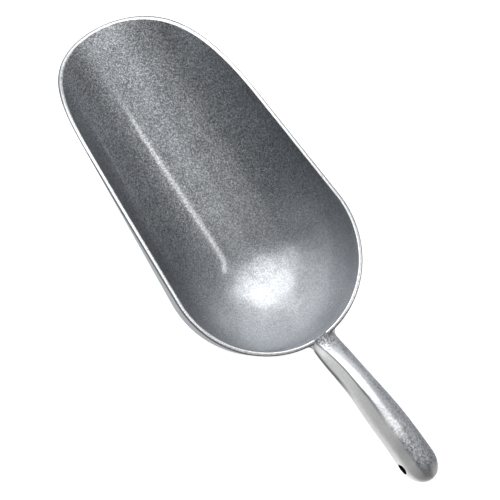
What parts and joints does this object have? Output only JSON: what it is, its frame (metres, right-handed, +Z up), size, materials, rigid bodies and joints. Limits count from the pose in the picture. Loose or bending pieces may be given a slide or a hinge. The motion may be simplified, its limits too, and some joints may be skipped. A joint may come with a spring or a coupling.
{
  "type": "ice scoop",
  "caption": "Round-bottomed cast scoop with a tapering open trough, a sloping rim, a curved lip and a hollow upswept grip with a hang hole.",
  "frame": {"origin": "centre of the part's box, on the level line that the trough's bottom lies along", "axes": "+X from the grip to the lip along the trough, +Z up out of the bowl's mouth, +Y to the left of a hand that holds the grip"},
  "size_m": [0.33, 0.125, 0.1293],
  "materials": {
    "blasted_cast": "satin cast skin with a fine sparkling blasted grain",
    "tumbled_cast": "tumbled, mottled satin",
    "buffed_cast": "belt ground and buffed bright"
  },
  "bodies": {
    "root": {"bowl": "blasted_cast", "handle": "tumbled_cast", "neck_fillet": "buffed_cast"}
  },
  "joints": []
}
